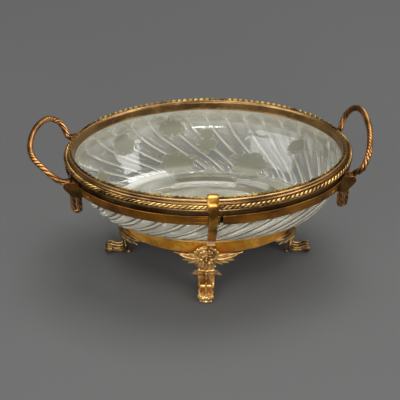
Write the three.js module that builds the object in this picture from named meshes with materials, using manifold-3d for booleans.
// Oval cut-glass bowl in a gilt brass mount: a collar with a toothed edge and a rope moulding,
// a dish on four scroll feet with masks, a strap that ties them, and two rope handles that swing.
// Millimetres, +Z up. The origin lies on the floor under the middle of the whole outline.

import * as THREE from 'three';
import { mergeVertices } from 'three/addons/utils/BufferGeometryUtils.js';
import Module from 'manifold-3d';

const wasm = await Module();
wasm.setup();

// Clearances
const FIT_GAP = 0.3; // between pieces that are soldered, screwed or laid together
const RUNNING_GAP = 0.15; // between a hinge pin and the eye that turns on it
const GLASS_GAP = 0.4; // between the glass rim and the collar round it

// Rim: the oval of the toothed edge, and the height of the collar's top
const RIM_SEMI_X = 143.5;
const RIM_SEMI_Y = 96;
const COLLAR_TOP = 141.6;
const SHEET = 0.8; // brass sheet of the collar
const LIP_INSET = 2.6; // inner lip, inside the toothed edge
const LIP_DEPTH = 10.9;
const SKIRT_OUTSET = 3; // outer skirt behind the rope and the band
const SKIRT_DEPTH = 27.1;
const MOULDING_HEIGHT = 4.4; // convex edge moulding over the rope

// Toothed strip on the collar
const TOOTH_COUNT = 120;
const TOOTH_HEIGHT = 2.6;
const TOOTH_STRIP_WIDTH = 1.8;
const TOOTH_ROOT = 0.9; // height of the strip between two teeth

// Rope moulding under the edge
const RIM_ROPE_RADIUS = 2.4;
const RIM_ROPE_DROP = 6.6; // from the collar's top to the rope's centre
const RIM_ROPE_SIDES = 6;

// Outer band
const BAND_DROP = 16; // from the collar's top to the band's upper edge
const BAND_HEIGHT = 12.5;
const BAND_SHEET = 1.2;
const BAND_LEAN = 2.2; // how far the upper edge stands out over the lower one
const BAND_BEAD = 1.5; // height of the bead along the upper edge
const BAND_JOINT_CENTRE = 8.2; // the open joint, right of the front strap
const BAND_JOINT_GAP = 3.2;

// Clasp plate over the band, left of the front strap
const CLASP_WIDTH = 14;
const CLASP_HEIGHT = 9.6;
const CLASP_SHEET = 1;
const CLASP_CENTRE = -12.4;
const CLASP_RAIL = 3.8; // height of each of the plate's two raised rails
const CLASP_GROOVE = 0.5;

// Rivets: those of the band have a domed head
const RIVET_RADIUS = 1;
const RIVET_HEAD_RADIUS = 1.9;
const RIVET_HEAD_HEIGHT = 1;
const BAND_RIVET_ANGLE = 34; // degrees round the oval, from each of its ends

// Strap that hooks over the collar and ends on the dish's outer face
const STRAP_WIDTH = 8.6;
const STRAP_SHEET = 1.2;
const STRAP_HOOK_DEPTH = 4.5; // how far the hook reaches down the inner lip
const STRAP_GAP = 0.6; // to the glass and to the dish, which is turned under the strap
const STRAP_TONGUE = 4.7; // length on the dish
const HOOK_WIDTH = 11; // the wider clip over the collar

// Dish that carries the glass: its lower outer edge, and the flare above it
const DISH_SEMI_X = 91;
const DISH_SEMI_Y = 56;
const DISH_BOTTOM = 42.2;
const DISH_HEIGHT = 20;
const DISH_FLARE = 6.5;
const DISH_END_FLARE = 1.4; // the dish flares more at its two ends, by this share
const DISH_SHEET = 1.2;
const DISH_FLOOR_SHEET = 1.5;
const DISH_FLANGE = 5; // inward ledge under the floor plate
const DISH_TWIST = -2; // degrees: the dish and its feet stand slightly turned under the rim
const PLATE_SHEET = 2;
const PLATE_INSET = 1.6;

// Glass bowl
const LOBE_COUNT = 34;
const COLUMNS_PER_LOBE = 3;
const LOBE_SWIRL = 0.13; // turns from the base to the top of the lobes
const LOBE_DEPTH = 3.6;
const LOBE_TOP_DROP = 12.6; // the arches end this far under the collar's top
const GLASS_BASE_INSET = 8; // foot disc of the glass, inside the dish's lower edge
const GLASS_SEAT_INSET = 2.4; // glass inside the dish's upper edge
const GLASS_TAPER = 30; // lobe ends over the dish, inside the toothed edge
const GLASS_CREST_RISE = 2.8; // lobe ends over the dish's upper edge
const GLASS_FLARE_POWER = 0.7;
const GLASS_FLOOR = 12; // thickness of the bowl's floor
const GLASS_FLOOR_INSET = 5; // edge of the inner floor, inside the dish's lower edge
const GLASS_RIM_WALL = 3.3;
const GLASS_WALL = 8;

// Feet
const STAND_SEMI_X = 88; // oval on which the heels of the four feet stand
const STAND_SEMI_Y = 61;
const FOOT_NAMES = ['right', 'back', 'left', 'front'];
const FOOT_ANGLES = [0, 90, 180, 268.5]; // degrees round the dish; the front foot is set to the left
const LEG_WIDTH = 16.4; // under the leaf collar
const LEG_BACK = 1.8; // back of the leg, outside the heel
const LEG_THICKNESS = 5.4;
const TOE_RADIUS = 5.9;
const TOE_REACH = 28.5; // tip of the scroll toe, outside the heel
const TOE_WIDTH = 17.8;
const INSTEP_HEIGHT = 7;
const ANKLE_HEIGHT = 13;
const PALM_LENGTH = 14; // tongue of the foot under the dish's floor
const PALM_THICKNESS = 4;
const PALM_WIDTH = 13;
const PAD_GAP = 1; // the pad fits between the curved edges of the dish's ledge
const LEAF_HEIGHT = 18.8; // leaf collar round the leg: height of its two tips
const LEAF_SPAN = 33;
const LEAF_RISE = 12.5;
const LEAF_DROP = 3.4;
const LEAF_OUTSET = 9;
const HEAD_HEIGHT = 48; // middle of the mask above the floor
const HEAD_OUTSET = 6.5;
const HEAD_HALF_WIDTH = 13.5;
const HEAD_HALF_HEIGHT = 12;
const HEAD_HALF_DEPTH = 6.5;
const BEARD_DROP = 13.4; // tip of the beard under the middle of the mask
const BEARD_HALF_WIDTH = 7.5;
const BEARD_DEPTH = 4;
const WING_START = 2; // acanthus wings along the dish, from the foot's middle
const WING_LENGTH = 32;
const WING_HALF_HEIGHT = 6;
const WING_HALF_DEPTH = 2.4;
const WING_OUTSET = 5;
const WING_CLOSING = 2; // the wing's tip lies this much nearer to the dish
const WING_DROP = 4.7; // root of the wing under the dish's lower edge
const WING_RISE = 3.5; // from its root to its tip

// Foot screws and nuts
const SCREW_RADIUS = 1.5;
const SCREW_HEAD_RADIUS = 3;
const SCREW_HEAD_HEIGHT = 1.2;
const SCREW_INSET = 9.4; // inside the dish's lower edge
const SCREW_TIP = 2; // thread below the nut
const NUT_RADIUS = 3.4;
const NUT_HEIGHT = 2.4;

// Handles
const PIVOT_OUTSET = 1; // hinge line outside the end of the toothed edge
const PIVOT_DROP = 15.6; // hinge line under the collar's top
const HANDLE_ROPE_RADIUS = 3.2;
const HANDLE_LAY = 4.2; // distance from strand to strand
const HANDLE_HALF_WIDTH = 51.5;
const HANDLE_SPREAD = 8; // the widest place of the loop, outside each eye
const HANDLE_SHOULDER = 20; // height of the widest place over the hinge
const HANDLE_HEIGHT = 47.5;
const HANDLE_NECK = 8; // the straight stretch over each eye
const LEFT_TILT = 56; // degrees outward from upright, as the two handles stand
const RIGHT_TILT = 24;
const LEFT_BOW = 12; // the left loop is bent a little towards the back
const RIGHT_BOW = -1.5;
const EYE_RADIUS = 4.2;
const EYE_WIDTH = 6.4;
const PIN_RADIUS = 1.5;
const PIN_HEAD_RADIUS = 2.4;
const PIN_HEAD_HEIGHT = 1;

// Lugs that carry the handles, and the rope ends under them
const EAR_SHEET = 1.8;
const EAR_RADIUS = 4.4;
const LUG_TOP = 4.8; // over the hinge line
const LUG_TOE = 5; // the lug's lower edge, inside the hinge line
const LUG_REACH = 18; // block that is cut to the band's curve
const TAIL_ROPE_RADIUS = 2.9;
const TAIL_LAY = 4;
const TAIL_BEND_RADIUS = 3.4;
const TAIL_LENGTH = 22.3;
const TAIL_INSET = 6.9; // inside the hinge line
const TAIL_TURN = 75; // degrees: the two legs lie nearly side by side from the front

// Facets
const RING_STEPS = 60;
const ROUND_SIDES = 12;
const ROPE_CREST_SHARE = 1;
const ROPE_VALLEY_SHARE = 0.7;
const STRANDS = 3;

// Heights and sizes that follow from the ones above
const LIP_BOTTOM = COLLAR_TOP - LIP_DEPTH;
const SKIRT_BOTTOM = COLLAR_TOP - SKIRT_DEPTH;
const ROPE_CENTRE = COLLAR_TOP - RIM_ROPE_DROP;
const ROPE_OUTSET = SKIRT_OUTSET + FIT_GAP + RIM_ROPE_RADIUS;
const BAND_TOP = COLLAR_TOP - BAND_DROP;
const BAND_BOTTOM = BAND_TOP - BAND_HEIGHT;
const BAND_INNER = SKIRT_OUTSET + FIT_GAP;
const BAND_OUTER = BAND_INNER + BAND_SHEET;
const DISH_TOP = DISH_BOTTOM + DISH_HEIGHT;
const DISH_WAIST = DISH_BOTTOM + DISH_HEIGHT * 0.45;
const STRAP_END = DISH_TOP - STRAP_TONGUE;
const PLATE_BOTTOM = DISH_BOTTOM + DISH_FLOOR_SHEET + FIT_GAP;
const PLATE_TOP = PLATE_BOTTOM + PLATE_SHEET;
const GLASS_BOTTOM = PLATE_TOP + FIT_GAP;
const GLASS_RIM_TOP = COLLAR_TOP - SHEET - 2 * FIT_GAP - MOULDING_HEIGHT / 2;
const GLASS_RIM_OUTSET = SKIRT_OUTSET - SHEET - GLASS_GAP;
const GLASS_CREST_Z = DISH_TOP + GLASS_CREST_RISE;
const LOBE_TOP = COLLAR_TOP - LOBE_TOP_DROP;
const PIVOT_X = RIM_SEMI_X + PIVOT_OUTSET;
const PIVOT_Z = COLLAR_TOP - PIVOT_DROP;
const LUG_DEPTH = PIVOT_Z - BAND_BOTTOM; // the lug ends level with the band
const HANDLE_FOOT = HANDLE_HALF_WIDTH - HANDLE_SPREAD; // half the distance between the two eyes
const EAR_OUTER = EYE_WIDTH / 2 + FIT_GAP + EAR_SHEET;
const TWO_PI = 2 * Math.PI;

const radians = THREE.MathUtils.degToRad;
const lerp = THREE.MathUtils.lerp;
const clamp = THREE.MathUtils.clamp;

// How far out the handle reaches from the rim's middle when it leans by tilt degrees
const handleReach = (tilt) => PIVOT_X + HANDLE_HEIGHT * Math.sin(radians(tilt)) + HANDLE_ROPE_RADIUS;
// The rim's middle stands off the origin, because the two handles lean by different amounts
const RIM_CENTRE_X = (handleReach(LEFT_TILT) - handleReach(RIGHT_TILT)) / 2;

// Materials
const brass = (color, roughness) => new THREE.MeshStandardMaterial({ color, roughness, metalness: 1 });
const giltBrass = () => brass(0x8a6428, 0.42);
const darkBrass = () => brass(0x5c3d18, 0.5);
const steel = () => brass(0x77736b, 0.4);
const cutGlass = () => new THREE.MeshStandardMaterial({
  color: 0xdde3dc, roughness: 0.05, metalness: 0, transparent: true, opacity: 0.35,
});

// Turns the faces outward if the body was wound the other way
function faceOutward(positions, indices) {
  const corner = (index) => new THREE.Vector3().fromArray(positions, 3 * index);
  let volume = 0;
  for (let i = 0; i < indices.length; i += 3) {
    const [a, b, c] = [corner(indices[i]), corner(indices[i + 1]), corner(indices[i + 2])];
    volume += a.dot(b.cross(c));
  }
  return volume < 0 ? indices.toReversed() : indices;
}

// A closed body through rings of equal point count: capped at both ends, or closed on its start
function bodyThroughRings(rings, closesOnStart = false) {
  const perRing = rings[0].length;
  const positions = rings.flat().flatMap((point) => point.toArray());
  const indices = [];
  const spans = closesOnStart ? rings.length : rings.length - 1;
  for (let ring = 0; ring < spans; ring += 1) {
    const here = ring * perRing;
    const next = ((ring + 1) % rings.length) * perRing;
    for (let i = 0; i < perRing; i += 1) {
      const j = (i + 1) % perRing;
      indices.push(here + i, here + j, next + j, here + i, next + j, next + i);
    }
  }
  if (!closesOnStart) {
    const cap = (ring, first, flip) => {
      const centre = ring.reduce((sum, point) => sum.add(point), new THREE.Vector3()).divideScalar(perRing);
      const hub = positions.length / 3;
      positions.push(...centre.toArray());
      for (let i = 0; i < perRing; i += 1) {
        const j = (i + 1) % perRing;
        indices.push(hub, first + (flip ? j : i), first + (flip ? i : j));
      }
    };
    cap(rings[0], 0, true);
    cap(rings.at(-1), (rings.length - 1) * perRing, false);
  }
  const geometry = new THREE.BufferGeometry();
  geometry.setAttribute('position', new THREE.Float32BufferAttribute(positions, 3));
  geometry.setIndex(faceOutward(positions, indices));
  return geometry;
}

// Booleans
function toSolid(geometry) {
  const bare = geometry.clone();
  bare.deleteAttribute('normal');
  bare.deleteAttribute('uv');
  const merged = mergeVertices(bare, 1e-4);
  return new wasm.Manifold(new wasm.Mesh({
    numProp: 3,
    vertProperties: new Float32Array(merged.attributes.position.array),
    triVerts: new Uint32Array(merged.index.array),
  }));
}

function toGeometry(solid) {
  const mesh = solid.getMesh();
  const geometry = new THREE.BufferGeometry();
  geometry.setAttribute('position', new THREE.BufferAttribute(new Float32Array(mesh.vertProperties), 3));
  geometry.setIndex(new THREE.BufferAttribute(new Uint32Array(mesh.triVerts), 1));
  return geometry;
}

const joined = (...geometries) => toGeometry(geometries.map(toSolid).reduce((all, next) => all.add(next)));
const cut = (geometry, ...tools) => toGeometry(
  tools.map(toSolid).reduce((rest, tool) => rest.subtract(tool), toSolid(geometry)),
);

// Ovals: a point at a parameter angle, and angles that divide the oval evenly by length
const ovalPoint = (semiX, semiY, angle, z) => (
  new THREE.Vector3(semiX * Math.cos(angle), semiY * Math.sin(angle), z)
);

function evenOvalAngle(semiX, semiY) {
  const FINE_STEPS = 720;
  const lengths = [0];
  for (let i = 1; i <= FINE_STEPS; i += 1) {
    const middle = ((i - 0.5) / FINE_STEPS) * TWO_PI;
    lengths.push(lengths[i - 1] + Math.hypot(semiX * Math.sin(middle), semiY * Math.cos(middle)));
  }
  return (turns) => {
    const whole = Math.floor(turns);
    const target = (turns - whole) * lengths[FINE_STEPS];
    let i = 1;
    while (lengths[i] < target) i += 1;
    const share = (target - lengths[i - 1]) / (lengths[i] - lengths[i - 1]);
    return ((i - 1 + share) / FINE_STEPS + whole) * TWO_PI;
  };
}

const rimAngle = evenOvalAngle(RIM_SEMI_X, RIM_SEMI_Y);
const dishAngle = evenOvalAngle(DISH_SEMI_X, DISH_SEMI_Y);

const rimPoint = (outset, angle, z) => ovalPoint(RIM_SEMI_X + outset, RIM_SEMI_Y + outset, angle, z);
const dishSemiX = (outset) => DISH_SEMI_X + outset * (outset > 0 ? DISH_END_FLARE : 1);
const dishSemiY = (outset) => DISH_SEMI_Y + outset;
const dishPoint = (outset, angle, z) => ovalPoint(dishSemiX(outset), dishSemiY(outset), angle, z);

// A ring whose profile, as [outset, height] pairs, runs round an oval
function ovalRing(profile, pointAt, angleAt, steps) {
  const rings = [];
  for (let step = 0; step < steps; step += 1) {
    const angle = angleAt(step / steps);
    rings.push(profile.map(([outset, z]) => pointAt(outset, angle, z)));
  }
  return bodyThroughRings(rings, true);
}

// A solid oval block with the given [outset, height] levels, used to cut what stands against a ring
function ovalBlock(levels, pointAt, angleAt) {
  const rings = levels.map(([outset, z]) => Array.from(
    { length: RING_STEPS },
    (_, step) => pointAt(outset, angleAt(step / RING_STEPS), z),
  ));
  return bodyThroughRings(rings);
}

// Outward direction of the rim at a parameter angle, level with the floor
const rimNormal = (angle) => (
  new THREE.Vector3(Math.cos(angle) * RIM_SEMI_Y, Math.sin(angle) * RIM_SEMI_X, 0).normalize()
);

// A flat outline, as [x, y] pairs, with a depth along +Z that starts at zero
function slab(outline, depth) {
  const shape = new THREE.Shape(outline.map(([x, y]) => new THREE.Vector2(x, y)));
  return new THREE.ExtrudeGeometry(shape, { depth, bevelEnabled: false });
}

// An outline in the X-Z plane with a width along Y, centred on zero
const sideSlab = (outline, width) => slab(outline, width).rotateX(Math.PI / 2).translate(0, width / 2, 0);

// A rod along Y, centred on zero
const crossRod = (radius, length, sides = ROUND_SIDES) => (
  new THREE.CylinderGeometry(radius, radius, length, sides)
);

// A rod along Z between two heights
const uprightRod = (radius, low, high, sides = ROUND_SIDES) => (
  new THREE.CylinderGeometry(radius, radius, high - low, sides)
    .rotateX(Math.PI / 2)
    .translate(0, 0, (low + high) / 2)
);

// Moves a shape made along +Y so that it starts at a point and runs in a direction
function aimed(geometry, point, direction) {
  const turn = new THREE.Quaternion().setFromUnitVectors(new THREE.Vector3(0, 1, 0), direction);
  return geometry.clone().applyQuaternion(turn).translate(point.x, point.y, point.z);
}

// Rivet along +Y: the shank ends at zero and the dome sits on the given grip
function rivet(grip) {
  const profile = [
    [0, 0],
    [RIVET_RADIUS, 0],
    [RIVET_RADIUS, grip],
    [RIVET_HEAD_RADIUS, grip],
    [RIVET_HEAD_RADIUS * 0.72, grip + RIVET_HEAD_HEIGHT * 0.75],
    [0, grip + RIVET_HEAD_HEIGHT],
  ];
  return new THREE.LatheGeometry(profile.map(([x, y]) => new THREE.Vector2(x, y)), ROUND_SIDES / 2);
}

// Twisted rope through points that lie in one plane: strands show as lobes that turn along the path
function twistedRope(points, planeNormal, radius, lay) {
  const path = new THREE.CatmullRomCurve3(points, false, 'centripetal');
  const steps = Math.round((2 * path.getLength()) / lay);
  const rings = [];
  for (let step = 0; step <= steps; step += 1) {
    const centre = path.getPointAt(step / steps);
    const side = new THREE.Vector3().crossVectors(path.getTangentAt(step / steps), planeNormal).normalize();
    const ring = [];
    for (let i = 0; i < 2 * STRANDS; i += 1) {
      const angle = ((i - step) / (2 * STRANDS)) * TWO_PI;
      const reach = radius * (i % 2 === 0 ? ROPE_CREST_SHARE : ROPE_VALLEY_SHARE);
      ring.push(centre.clone()
        .addScaledVector(planeNormal, reach * Math.cos(angle))
        .addScaledVector(side, reach * Math.sin(angle)));
    }
    rings.push(ring);
  }
  return bodyThroughRings(rings);
}

// Glass: rings that lie in the dish, and rings that flare from the lobe ends to the rim
const seated = (z, outset, depth) => ({ z, semiX: dishSemiX(outset), semiY: dishSemiY(outset), depth });
const flaring = (z, outset, depth) => ({ z, semiX: RIM_SEMI_X + outset, semiY: RIM_SEMI_Y + outset, depth });
const glassLevel = (share) => lerp(GLASS_CREST_Z, BAND_BOTTOM, share);
const glassOutset = (share) => lerp(-GLASS_TAPER, GLASS_RIM_OUTSET, share ** GLASS_FLARE_POWER);
const SEAT_OUTSET = DISH_FLARE - GLASS_SEAT_INSET;

function glassOuterRings() {
  return [
    seated(GLASS_BOTTOM, -GLASS_BASE_INSET, 0),
    seated(lerp(GLASS_BOTTOM, DISH_TOP, 0.5), lerp(-GLASS_BASE_INSET, SEAT_OUTSET, 0.45), LOBE_DEPTH / 3),
    seated(DISH_TOP + FIT_GAP, SEAT_OUTSET, LOBE_DEPTH / 2),
    ...[0, 0.2, 0.45, 0.72].map((share) => flaring(glassLevel(share), glassOutset(share), LOBE_DEPTH)),
    flaring(BAND_BOTTOM, GLASS_RIM_OUTSET, LOBE_DEPTH * 0.6),
    flaring(LOBE_TOP, GLASS_RIM_OUTSET, 0),
    flaring(GLASS_RIM_TOP, GLASS_RIM_OUTSET, 0),
  ];
}

function glassInnerRings() {
  return [
    flaring(GLASS_RIM_TOP, GLASS_RIM_OUTSET - GLASS_RIM_WALL, 0),
    flaring(LIP_BOTTOM, GLASS_RIM_OUTSET - GLASS_RIM_WALL, 0),
    ...[0.75, 0.45, 0.2].map((share) => flaring(glassLevel(share), glassOutset(share) - GLASS_WALL, 0)),
    seated(GLASS_CREST_Z + GLASS_CREST_RISE, SEAT_OUTSET / 2, 0),
    seated(GLASS_BOTTOM + GLASS_FLOOR, -GLASS_FLOOR_INSET, 0),
  ];
}

function glassGeometry() {
  const columns = LOBE_COUNT * COLUMNS_PER_LOBE;
  const upright = new THREE.Vector3(0, 0, 1);
  const rings = [...glassOuterRings(), ...glassInnerRings()].map(({ z, semiX, semiY, depth }) => {
    const climb = clamp((z - GLASS_BOTTOM) / (LOBE_TOP - GLASS_BOTTOM), 0, 1);
    const turn = radians(DISH_TWIST) * clamp((BAND_BOTTOM - z) / (BAND_BOTTOM - DISH_TOP), 0, 1);
    return Array.from({ length: columns }, (_, column) => {
      const inset = column % COLUMNS_PER_LOBE === 0 ? depth : 0;
      const angle = rimAngle(column / columns + LOBE_SWIRL * climb);
      return ovalPoint(semiX - inset, semiY - inset, angle, z).applyAxisAngle(upright, turn);
    });
  });
  return bodyThroughRings(rings);
}

// Collar: an inner lip, a flat top, a convex moulding and an outer skirt, bent from one sheet
const COLLAR_PROFILE = [
  [-LIP_INSET, LIP_BOTTOM],
  [-LIP_INSET, COLLAR_TOP - 2.2],
  [-LIP_INSET + 1.4, COLLAR_TOP],
  [1.2, COLLAR_TOP],
  [SKIRT_OUTSET + SHEET / 2, COLLAR_TOP - 1.6],
  [SKIRT_OUTSET, COLLAR_TOP - MOULDING_HEIGHT],
  [SKIRT_OUTSET, SKIRT_BOTTOM],
  [SKIRT_OUTSET - SHEET, SKIRT_BOTTOM],
  [SKIRT_OUTSET - SHEET, COLLAR_TOP - MOULDING_HEIGHT + SHEET],
  [0.4, COLLAR_TOP - 2 * SHEET],
  [-LIP_INSET + SHEET, COLLAR_TOP - 2.2 - SHEET],
  [-LIP_INSET + SHEET, LIP_BOTTOM],
];

const collarGeometry = () => cut(ovalRing(COLLAR_PROFILE, rimPoint, rimAngle, RING_STEPS), ...bandHoles());

// Toothed strip: the height swings between root and tooth
function toothStripGeometry() {
  const low = COLLAR_TOP + FIT_GAP;
  const rings = [];
  for (let step = 0; step < 2 * TOOTH_COUNT; step += 1) {
    const angle = rimAngle(step / (2 * TOOTH_COUNT));
    const high = low + (step % 2 === 0 ? TOOTH_ROOT : TOOTH_HEIGHT);
    rings.push([
      rimPoint(-TOOTH_STRIP_WIDTH / 2, angle, low),
      rimPoint(TOOTH_STRIP_WIDTH / 2, angle, low),
      rimPoint(0, angle, high),
    ]);
  }
  return bodyThroughRings(rings, true);
}

function rimRopeGeometry() {
  const profile = Array.from({ length: RIM_ROPE_SIDES }, (_, side) => {
    const angle = ((side + 0.5) / RIM_ROPE_SIDES) * TWO_PI;
    return [
      ROPE_OUTSET + RIM_ROPE_RADIUS * Math.cos(angle),
      ROPE_CENTRE + RIM_ROPE_RADIUS * Math.sin(angle),
    ];
  });
  return ovalRing(profile, rimPoint, rimAngle, RING_STEPS);
}

// Rivets through the band and the skirt behind it
const bandOutset = (z) => BAND_OUTER + (BAND_LEAN * (z - BAND_BOTTOM)) / (BAND_HEIGHT - BAND_BEAD);
const BAND_MIDDLE = BAND_BOTTOM + BAND_HEIGHT / 2;
const BAND_TILT = Math.atan(BAND_LEAN / (BAND_HEIGHT - BAND_BEAD));
const rivetAxis = (angle) => rimNormal(angle).multiplyScalar(Math.cos(BAND_TILT)).setZ(-Math.sin(BAND_TILT));

function bandRivetPlaces() {
  const along = radians(BAND_RIVET_ANGLE);
  const angles = [along, -along, Math.PI - along, Math.PI + along];
  const grip = (bandOutset(BAND_MIDDLE) - (SKIRT_OUTSET - SHEET)) / Math.cos(BAND_TILT) + FIT_GAP;
  return angles.map((angle) => {
    const face = rimPoint(bandOutset(BAND_MIDDLE), angle, BAND_MIDDLE);
    return { start: face.addScaledVector(rivetAxis(angle), FIT_GAP - grip), axis: rivetAxis(angle), grip };
  });
}

const HOLE_DEPTH = 12;

function bandHoles() {
  return bandRivetPlaces().map(({ start, axis }) => {
    const hole = crossRod(RIVET_RADIUS + FIT_GAP, HOLE_DEPTH, ROUND_SIDES / 2)
      .translate(0, HOLE_DEPTH / 2 - SHEET, 0);
    return aimed(hole, start, axis);
  });
}

// Band: an open loop whose joint lies right of the front strap
function bandGeometry() {
  const profile = [
    [BAND_INNER, BAND_BOTTOM],
    [BAND_OUTER, BAND_BOTTOM],
    [bandOutset(BAND_TOP - BAND_BEAD), BAND_TOP - BAND_BEAD],
    [bandOutset(BAND_TOP - BAND_BEAD) + BAND_SHEET / 3, BAND_TOP],
    [BAND_INNER + BAND_LEAN / 2, BAND_TOP],
  ];
  const ring = ovalRing(profile, rimPoint, rimAngle, RING_STEPS);
  const opening = new THREE.BoxGeometry(BAND_JOINT_GAP, 2 * HOLE_DEPTH, 2 * BAND_HEIGHT)
    .translate(BAND_JOINT_CENTRE, -RIM_SEMI_Y - BAND_OUTER, BAND_MIDDLE);
  return cut(ring, opening, ...bandHoles());
}

// Clasp plate, curved with the band's front and soldered to it, with a groove between two rails
function claspGeometry() {
  const [low, high] = [BAND_MIDDLE - CLASP_HEIGHT / 2, BAND_MIDDLE + CLASP_HEIGHT / 2];
  const inner = (z) => bandOutset(z) + FIT_GAP;
  const face = (z) => [inner(z) + CLASP_SHEET, z];
  const floor = (z) => [inner(z) + CLASP_SHEET - CLASP_GROOVE, z];
  const ring = ovalRing([
    [inner(low), low],
    face(low),
    face(low + CLASP_RAIL),
    floor(low + CLASP_RAIL),
    floor(high - CLASP_RAIL),
    face(high - CLASP_RAIL),
    face(high),
    [inner(high), high],
  ], rimPoint, rimAngle, RING_STEPS);
  const window = new THREE.BoxGeometry(CLASP_WIDTH, 2 * HOLE_DEPTH, 2 * BAND_HEIGHT)
    .translate(CLASP_CENTRE, -RIM_SEMI_Y, BAND_MIDDLE);
  return toGeometry(toSolid(ring).intersect(toSolid(window)));
}

// Outer face of the dish at a height, as an outset: it opens more slowly above its waist
const dishWall = (z) => (DISH_FLARE / 2) * (z < DISH_WAIST
  ? (z - DISH_BOTTOM) / (DISH_WAIST - DISH_BOTTOM)
  : 1 + (z - DISH_WAIST) / (DISH_TOP - DISH_WAIST));

// Strap: its inner face runs up the lip, over the teeth, down rope, band and glass, onto the dish
function strapInnerFace() {
  const toothTop = COLLAR_TOP + FIT_GAP + TOOTH_HEIGHT + FIT_GAP;
  const ropeFace = ROPE_OUTSET + RIM_ROPE_RADIUS + FIT_GAP;
  const overGlass = [0.86, 0.68, 0.5, 0.32, 0.18, 0].map((share) => (
    [glassOutset(share) + STRAP_GAP, glassLevel(share)]
  ));
  const onDish = (z) => [dishSemiY(dishWall(z)) + STRAP_GAP - RIM_SEMI_Y, z];
  return [
    [-LIP_INSET - FIT_GAP, COLLAR_TOP - STRAP_HOOK_DEPTH],
    [-LIP_INSET - FIT_GAP, COLLAR_TOP + 1],
    [-TOOTH_STRIP_WIDTH, toothTop],
    [TOOTH_STRIP_WIDTH, toothTop],
    [ropeFace - 2, ROPE_CENTRE + RIM_ROPE_RADIUS + 4],
    [ropeFace, ROPE_CENTRE + RIM_ROPE_RADIUS],
    [ropeFace, ROPE_CENTRE - RIM_ROPE_RADIUS],
    [bandOutset(BAND_TOP) + FIT_GAP * 2, BAND_TOP],
    [BAND_OUTER + FIT_GAP * 2, BAND_BOTTOM],
    ...overGlass,
    onDish(DISH_TOP),
    onDish(STRAP_END),
  ];
}

// Gives a line of [outset, height] points a thickness on its outer side
function thickened(line, thickness) {
  const outer = line.map(([x, y], i) => {
    const [before, after] = [line[Math.max(i - 1, 0)], line[Math.min(i + 1, line.length - 1)]];
    const length = Math.hypot(after[0] - before[0], after[1] - before[1]);
    const [dx, dy] = [(after[0] - before[0]) / length, (after[1] - before[1]) / length];
    return [x - dy * thickness, y + dx * thickness];
  });
  return [...line, ...outer.reverse()];
}

const strapSlab = (line, width) => (
  sideSlab(thickened(line, STRAP_SHEET).map(([outset, z]) => [RIM_SEMI_Y + outset, z]), width)
);

function strapGeometry() {
  const line = strapInnerFace();
  const hookEnd = line.findIndex(([, z]) => z < BAND_TOP + FIT_GAP);
  const hook = strapSlab(line.slice(0, hookEnd + 1), HOOK_WIDTH);
  return joined(strapSlab(line, STRAP_WIDTH), hook).rotateZ(-Math.PI / 2);
}

// Dish, floor plate, and the screw holes that they share
const DISH_PROFILE = [
  [0, DISH_BOTTOM],
  [DISH_FLARE / 2, DISH_WAIST],
  [DISH_FLARE, DISH_TOP],
  [DISH_FLARE - DISH_SHEET, DISH_TOP],
  [DISH_FLARE / 2 - DISH_SHEET, DISH_WAIST],
  [-DISH_SHEET, DISH_BOTTOM + DISH_FLOOR_SHEET],
  [-DISH_FLANGE, DISH_BOTTOM + DISH_FLOOR_SHEET],
  [-DISH_FLANGE, DISH_BOTTOM],
];

const screwPlaces = FOOT_ANGLES.map((angle) => dishPoint(-SCREW_INSET, radians(angle), 0));
const atScrews = (geometry) => screwPlaces.map(({ x, y }) => geometry.clone().translate(x, y, 0));

function plateGeometry() {
  const blank = ovalBlock([[-PLATE_INSET, PLATE_BOTTOM], [-PLATE_INSET, PLATE_TOP]], dishPoint, dishAngle);
  const shankHoles = atScrews(uprightRod(SCREW_RADIUS + FIT_GAP, PLATE_BOTTOM - 1, PLATE_TOP + 1));
  const headSeats = atScrews(uprightRod(
    SCREW_HEAD_RADIUS + FIT_GAP,
    PLATE_TOP - SCREW_HEAD_HEIGHT - FIT_GAP,
    PLATE_TOP + 1,
  ));
  return cut(blank, ...shankHoles, ...headSeats);
}

const PALM_TOP = PLATE_BOTTOM - FIT_GAP;
const PALM_BOTTOM = PALM_TOP - PALM_THICKNESS - DISH_FLOOR_SHEET;
const NUT_TOP = PALM_BOTTOM - FIT_GAP;

const screwGeometry = () => joined(
  uprightRod(
    SCREW_RADIUS,
    NUT_TOP - NUT_HEIGHT - SCREW_TIP,
    PLATE_TOP - SCREW_HEAD_HEIGHT / 2,
    ROUND_SIDES / 2,
  ),
  uprightRod(SCREW_HEAD_RADIUS, PLATE_TOP - SCREW_HEAD_HEIGHT, PLATE_TOP),
);

const nutGeometry = () => cut(
  uprightRod(NUT_RADIUS, NUT_TOP - NUT_HEIGHT, NUT_TOP, 6),
  uprightRod(SCREW_RADIUS + FIT_GAP, NUT_TOP - NUT_HEIGHT - 1, NUT_TOP + 1, ROUND_SIDES / 2),
);

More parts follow.
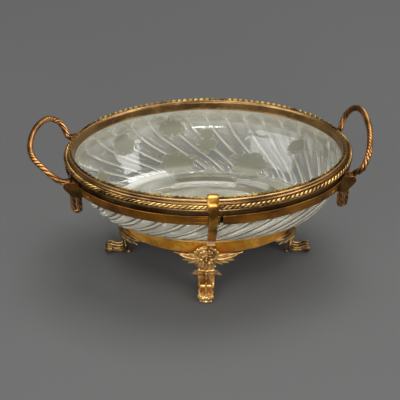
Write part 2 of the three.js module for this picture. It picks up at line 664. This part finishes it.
// Foot, in its own frame: +X points outward from the heel, +Y along the dish; edge is where the
// dish's lower edge lies on +X
function legGeometry(edge) {
  const front = LEG_BACK + LEG_THICKNESS;
  const toeCentre = TOE_REACH - TOE_RADIUS;
  const outline = [
    [-0.5, 0],
    [toeCentre, 0],
    [toeCentre, INSTEP_HEIGHT - 1],
    [(toeCentre + front) / 2, INSTEP_HEIGHT],
    [front + 1, ANKLE_HEIGHT],
    [front, ANKLE_HEIGHT + 8],
    [front + 2, PALM_BOTTOM],
    [HEAD_OUTSET, HEAD_HEIGHT],
    [edge - PALM_LENGTH, HEAD_HEIGHT],
    [edge - PALM_LENGTH, PALM_BOTTOM],
    [LEG_BACK - 2, PALM_BOTTOM],
    [LEG_BACK, ANKLE_HEIGHT],
  ];
  const shin = sideSlab([
    [LEG_BACK - 0.6, ANKLE_HEIGHT + 2],
    [front + 0.6, ANKLE_HEIGHT + 2],
    [front + 1.4, LEAF_HEIGHT + 2],
    [LEG_BACK - 1.4, LEAF_HEIGHT + 2],
  ], LEG_WIDTH);
  const toe = new THREE.SphereGeometry(1, ROUND_SIDES, ROUND_SIDES / 2 + 2)
    .scale(TOE_RADIUS, TOE_WIDTH / 2, TOE_RADIUS)
    .translate(toeCentre, 0, TOE_RADIUS);
  return joined(sideSlab(outline, PALM_WIDTH), shin, toe);
}

function leafGeometry() {
  const outline = [
    [-LEAF_SPAN / 2, LEAF_HEIGHT],
    [-LEG_WIDTH / 2, LEAF_HEIGHT - LEAF_DROP / 2],
    [0, LEAF_HEIGHT - LEAF_DROP],
    [LEG_WIDTH / 2, LEAF_HEIGHT - LEAF_DROP / 2],
    [LEAF_SPAN / 2, LEAF_HEIGHT],
    [LEG_WIDTH / 2, LEAF_HEIGHT + LEAF_RISE],
    [-LEG_WIDTH / 2, LEAF_HEIGHT + LEAF_RISE],
  ];
  return slab(outline, LEAF_OUTSET - LEG_BACK)
    .rotateX(Math.PI / 2)
    .rotateZ(Math.PI / 2)
    .translate(LEG_BACK, 0, 0);
}

function maskGeometry() {
  const head = new THREE.SphereGeometry(1, 12, 8)
    .scale(HEAD_HALF_DEPTH, HEAD_HALF_WIDTH, HEAD_HALF_HEIGHT)
    .translate(HEAD_OUTSET, 0, HEAD_HEIGHT);
  const beard = new THREE.ConeGeometry(BEARD_HALF_WIDTH, BEARD_DROP, 8)
    .rotateX(-Math.PI / 2)
    .scale(BEARD_DEPTH / BEARD_HALF_WIDTH, 1, 1)
    .translate(HEAD_OUTSET, 0, HEAD_HEIGHT - BEARD_DROP / 2);
  return joined(head, beard);
}

// Acanthus wing: a leaf that tapers along the dish's lower edge; side is +1 or -1
function wingGeometry(footTurns, side) {
  const STATIONS = [0, 0.3, 0.6, 0.85, 1];
  const perimeter = Math.PI * (3 * (DISH_SEMI_X + DISH_SEMI_Y)
    - Math.sqrt((3 * DISH_SEMI_X + DISH_SEMI_Y) * (DISH_SEMI_X + 3 * DISH_SEMI_Y)));
  const rings = STATIONS.map((share) => {
    const distance = WING_START + share * WING_LENGTH;
    const angle = dishAngle(footTurns + (side * distance) / perimeter);
    const swell = 0.25 + 0.75 * Math.cos((share * Math.PI) / 2);
    const middle = WING_OUTSET - WING_CLOSING * share;
    const z = DISH_BOTTOM - WING_DROP + WING_RISE * share;
    return [[-1, 0], [-0.6, -0.8], [0.6, -1], [1, 0], [0.5, 0.9], [-0.6, 0.8]].map(([out, up]) => (
      dishPoint(middle + out * WING_HALF_DEPTH * swell, angle, z + up * WING_HALF_HEIGHT * swell)
    ));
  });
  return bodyThroughRings(rings);
}

// One whole foot, cut clear of the dish and the strap, with its palm pad and screw hole
function footGeometry(quarter) {
  const angle = radians(FOOT_ANGLES[quarter]);
  const onLongSide = quarter % 2 === 1;
  const edge = onLongSide ? DISH_SEMI_Y - STAND_SEMI_Y : DISH_SEMI_X - STAND_SEMI_X;
  const heel = ovalPoint(STAND_SEMI_X, STAND_SEMI_Y, angle, 0);
  const placed = (geometry) => geometry.rotateZ(angle).translate(heel.x, heel.y, 0);
  const footTurns = quarter / FOOT_ANGLES.length;
  const body = joined(
    placed(legGeometry(edge)),
    placed(leafGeometry()),
    placed(maskGeometry()),
    wingGeometry(footTurns, 1),
    wingGeometry(footTurns, -1),
  );
  const room = FIT_GAP + (FOOT_NAMES[quarter] === 'front' ? STRAP_GAP + STRAP_SHEET : 0);
  const dishBlock = ovalBlock([
    [FIT_GAP, DISH_BOTTOM - FIT_GAP],
    [DISH_FLARE / 2 + FIT_GAP, DISH_WAIST],
    [dishWall(STRAP_END) + FIT_GAP, STRAP_END - 3 * FIT_GAP],
    [dishWall(STRAP_END) + room, STRAP_END - 2 * FIT_GAP],
    [DISH_FLARE + room, DISH_TOP],
    [DISH_FLARE + room, DISH_TOP + DISH_HEIGHT],
  ], dishPoint, dishAngle);
  const padLength = PALM_LENGTH - DISH_FLANGE - PAD_GAP;
  const pad = new THREE.BoxGeometry(padLength, PALM_WIDTH, PALM_TOP - PALM_BOTTOM)
    .translate(edge - PALM_LENGTH + padLength / 2, 0, (PALM_TOP + PALM_BOTTOM) / 2);
  const screwHole = uprightRod(SCREW_RADIUS + FIT_GAP, PALM_BOTTOM - 1, PALM_TOP + 1)
    .translate(edge - SCREW_INSET, 0, 0);
  return cut(joined(cut(body, dishBlock), placed(pad)), placed(screwHole));
}

// Handle, upright in its own frame: the hinge line is the Y axis
function handleGeometry(bow) {
  const half = [
    [HANDLE_FOOT, EYE_RADIUS * 0.6],
    [HANDLE_FOOT, HANDLE_NECK * 0.8],
    [HANDLE_FOOT + 0.5, HANDLE_NECK],
    [lerp(HANDLE_FOOT, HANDLE_HALF_WIDTH, 0.62), lerp(HANDLE_NECK, HANDLE_SHOULDER, 0.4)],
    [HANDLE_HALF_WIDTH, HANDLE_SHOULDER],
  ];
  const archPoints = [25, 48, 70, 90].map((degrees) => [
    HANDLE_HALF_WIDTH * Math.cos(radians(degrees)) ** 0.92,
    HANDLE_SHOULDER + (HANDLE_HEIGHT - HANDLE_SHOULDER) * Math.sin(radians(degrees)),
  ]);
  const side = [...half, ...archPoints];
  const mirrored = side.slice(0, -1).reverse().map(([u, v]) => [-u, v]);
  const points = [...side, ...mirrored].map(([u, v]) => {
    const climb = Math.max((v - HANDLE_NECK) / (HANDLE_HEIGHT - HANDLE_NECK), 0);
    return new THREE.Vector3(0, u + bow * Math.sin(Math.PI * climb), v);
  });
  const rope = twistedRope(points, new THREE.Vector3(1, 0, 0), HANDLE_ROPE_RADIUS, HANDLE_LAY);
  const atEyes = (geometry) => [-1, 1].map((end) => geometry.clone().translate(0, end * HANDLE_FOOT, 0));
  const withEyes = joined(rope, ...atEyes(crossRod(EYE_RADIUS, EYE_WIDTH)));
  return cut(withEyes, ...atEyes(crossRod(PIN_RADIUS + RUNNING_GAP, EYE_WIDTH + 2)));
}

// Lug, for an eye at the given side of the bowl and end of the handle
function lugGeometry(side, end) {
  const outline = [
    [-LUG_REACH, LUG_TOP],
    [-EAR_RADIUS * 0.2, LUG_TOP * 0.9],
    [EAR_RADIUS * 0.7, EAR_RADIUS * 0.7],
    [EAR_RADIUS, 0],
    [EAR_RADIUS * 0.7, -EAR_RADIUS * 0.7],
    [-LUG_TOE, -LUG_DEPTH],
    [-LUG_REACH, -LUG_DEPTH],
  ];
  const slotReach = EYE_RADIUS + 2 * FIT_GAP;
  const slotWidth = EYE_WIDTH + 2 * FIT_GAP;
  const slot = joined(
    crossRod(slotReach, slotWidth),
    new THREE.BoxGeometry(2 * slotReach, slotWidth, 2 * slotReach).translate(slotReach, 0, slotReach),
    new THREE.BoxGeometry(2 * slotReach, slotWidth, 2 * slotReach).translate(slotReach, 0, 0),
    new THREE.BoxGeometry(slotReach, slotWidth, 2 * slotReach).translate(-slotReach / 2, 0, slotReach),
  );
  const blank = cut(
    sideSlab(outline, 2 * EAR_OUTER),
    slot,
    crossRod(PIN_RADIUS + FIT_GAP, 3 * EAR_OUTER),
  );
  const placed = blank.rotateZ(side > 0 ? 0 : Math.PI).translate(side * PIVOT_X, end * HANDLE_FOOT, PIVOT_Z);
  const bandBlock = ovalBlock([
    [BAND_OUTER + FIT_GAP, SKIRT_BOTTOM - BAND_HEIGHT],
    [BAND_OUTER + FIT_GAP, BAND_BOTTOM],
    [bandOutset(BAND_TOP) + BAND_SHEET / 3 + FIT_GAP, BAND_TOP],
    [bandOutset(BAND_TOP) + BAND_SHEET / 3 + FIT_GAP, COLLAR_TOP],
  ], rimPoint, rimAngle);
  return cut(placed, bandBlock);
}

function pinGeometry() {
  const grip = 2 * EAR_OUTER + 2 * FIT_GAP;
  const head = crossRod(PIN_HEAD_RADIUS, PIN_HEAD_HEIGHT);
  return joined(
    crossRod(PIN_RADIUS, grip + PIN_HEAD_HEIGHT),
    head.clone().translate(0, (grip + PIN_HEAD_HEIGHT) / 2, 0),
    head.clone().translate(0, -(grip + PIN_HEAD_HEIGHT) / 2, 0),
  );
}

// Rope end: a bight that hangs under the lug
function tailGeometry(side, end) {
  const top = -LUG_DEPTH - FIT_GAP;
  const bendZ = top - TAIL_LENGTH + TAIL_ROPE_RADIUS + TAIL_BEND_RADIUS;
  const bend = [180, 225, 270, 315, 360].map((degrees) => [
    TAIL_BEND_RADIUS * Math.cos(radians(degrees)),
    bendZ + TAIL_BEND_RADIUS * Math.sin(radians(degrees)),
  ]);
  const points = [[-TAIL_BEND_RADIUS, top], ...bend, [TAIL_BEND_RADIUS, top]]
    .map(([u, v]) => new THREE.Vector3(0, u, v));
  return twistedRope(points, new THREE.Vector3(1, 0, 0), TAIL_ROPE_RADIUS, TAIL_LAY)
    .rotateZ(side * end * radians(TAIL_TURN))
    .translate(side * (PIVOT_X - TAIL_INSET), end * HANDLE_FOOT, PIVOT_Z);
}

// Assembly
const part = (name, geometry, material) => {
  const mesh = new THREE.Mesh(geometry, material);
  mesh.name = name;
  return mesh;
};

const bowl = new THREE.Group();
bowl.position.x = RIM_CENTRE_X;

bowl.add(
  part('glass_bowl', glassGeometry(), cutGlass()),
  part('rim_collar', collarGeometry(), giltBrass()),
  part('tooth_strip', toothStripGeometry(), darkBrass()),
  part('rope_moulding', rimRopeGeometry(), giltBrass()),
  part('rim_band', bandGeometry(), giltBrass()),
  part('band_clasp', claspGeometry(), darkBrass()),
  part('front_strap', strapGeometry(), giltBrass()),
);

bandRivetPlaces().forEach(({ start, axis, grip }, i) => {
  bowl.add(part(`band_rivet_${i + 1}`, aimed(rivet(grip), start, axis), giltBrass()));
});

const SIDES = [['left', -1], ['right', 1]];
const ENDS = [['front', -1], ['back', 1]];
for (const [sideName, side] of SIDES) {
  for (const [endName, end] of ENDS) {
    bowl.add(part(`lug_${sideName}_${endName}`, lugGeometry(side, end), darkBrass()));
    bowl.add(part(`rope_end_${sideName}_${endName}`, tailGeometry(side, end), darkBrass()));
    const pin = part(`hinge_pin_${sideName}_${endName}`, pinGeometry(), darkBrass());
    pin.position.set(side * PIVOT_X, end * HANDLE_FOOT, PIVOT_Z);
    bowl.add(pin);
  }
}

const LEANS = { left: [-LEFT_TILT, LEFT_BOW], right: [RIGHT_TILT, RIGHT_BOW] };
for (const [sideName, side] of SIDES) {
  const [tilt, bow] = LEANS[sideName];
  const handle = part(`handle_${sideName}`, handleGeometry(bow), giltBrass());
  handle.position.set(side * PIVOT_X, 0, PIVOT_Z);
  handle.rotation.y = radians(tilt);
  bowl.add(handle);
}

const stand = new THREE.Group();
stand.rotation.z = radians(DISH_TWIST);
stand.add(
  part('dish', ovalRing(DISH_PROFILE, dishPoint, dishAngle, RING_STEPS), giltBrass()),
  part('dish_floor', plateGeometry(), giltBrass()),
);
FOOT_NAMES.forEach((name, quarter) => {
  const screw = part(`foot_screw_${name}`, screwGeometry(), steel());
  const nut = part(`foot_nut_${name}`, nutGeometry(), steel());
  screw.position.copy(screwPlaces[quarter]);
  nut.position.copy(screwPlaces[quarter]);
  stand.add(part(`foot_${name}`, footGeometry(quarter), giltBrass()), screw, nut);
});
bowl.add(stand);

const model = new THREE.Group();
model.add(bowl);
export default model;
